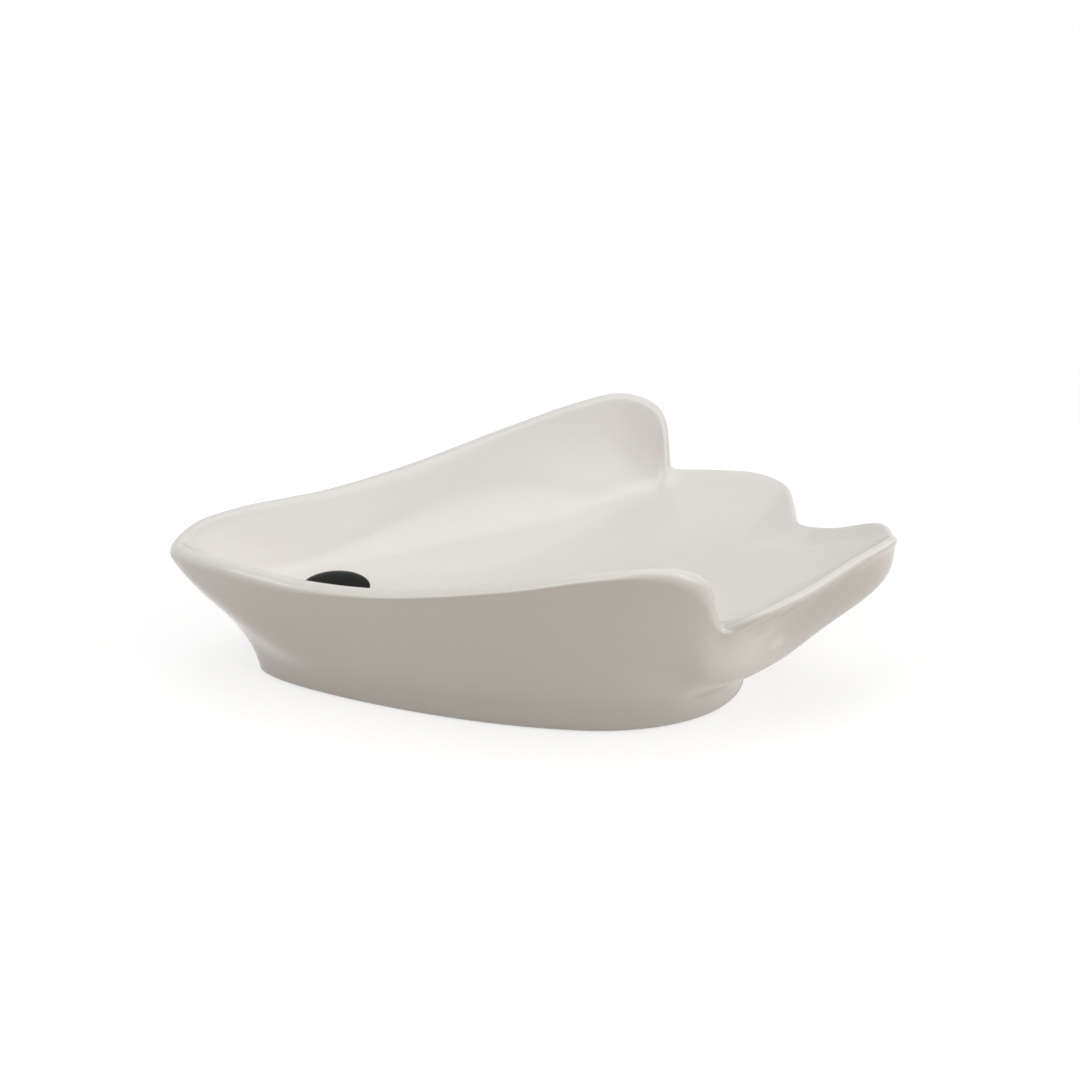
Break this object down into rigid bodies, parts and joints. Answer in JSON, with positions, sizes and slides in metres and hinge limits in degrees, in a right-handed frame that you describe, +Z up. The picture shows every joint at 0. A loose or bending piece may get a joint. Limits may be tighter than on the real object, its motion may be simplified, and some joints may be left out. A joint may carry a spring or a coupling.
{
  "type": "spoon rest",
  "caption": "Fish-shaped glazed ceramic spoon rest: shallow bowl with raised fins, forked tail that carries the handle, domed black eye, and a hollow foot ring to stand on.",
  "frame": {"origin": "middle of the object's footprint, on the surface that the foot ring stands on", "axes": "+X along the fish from its head to its tail, +Y towards the fin on the blunt side of the tail, +Z up"},
  "size_m": [0.1658, 0.101, 0.0522],
  "materials": {
    "cream_glaze": "gloss",
    "black_glaze": "gloss"
  },
  "bodies": {
    "root": {"dish": "cream_glaze", "eye": "black_glaze"}
  },
  "joints": []
}
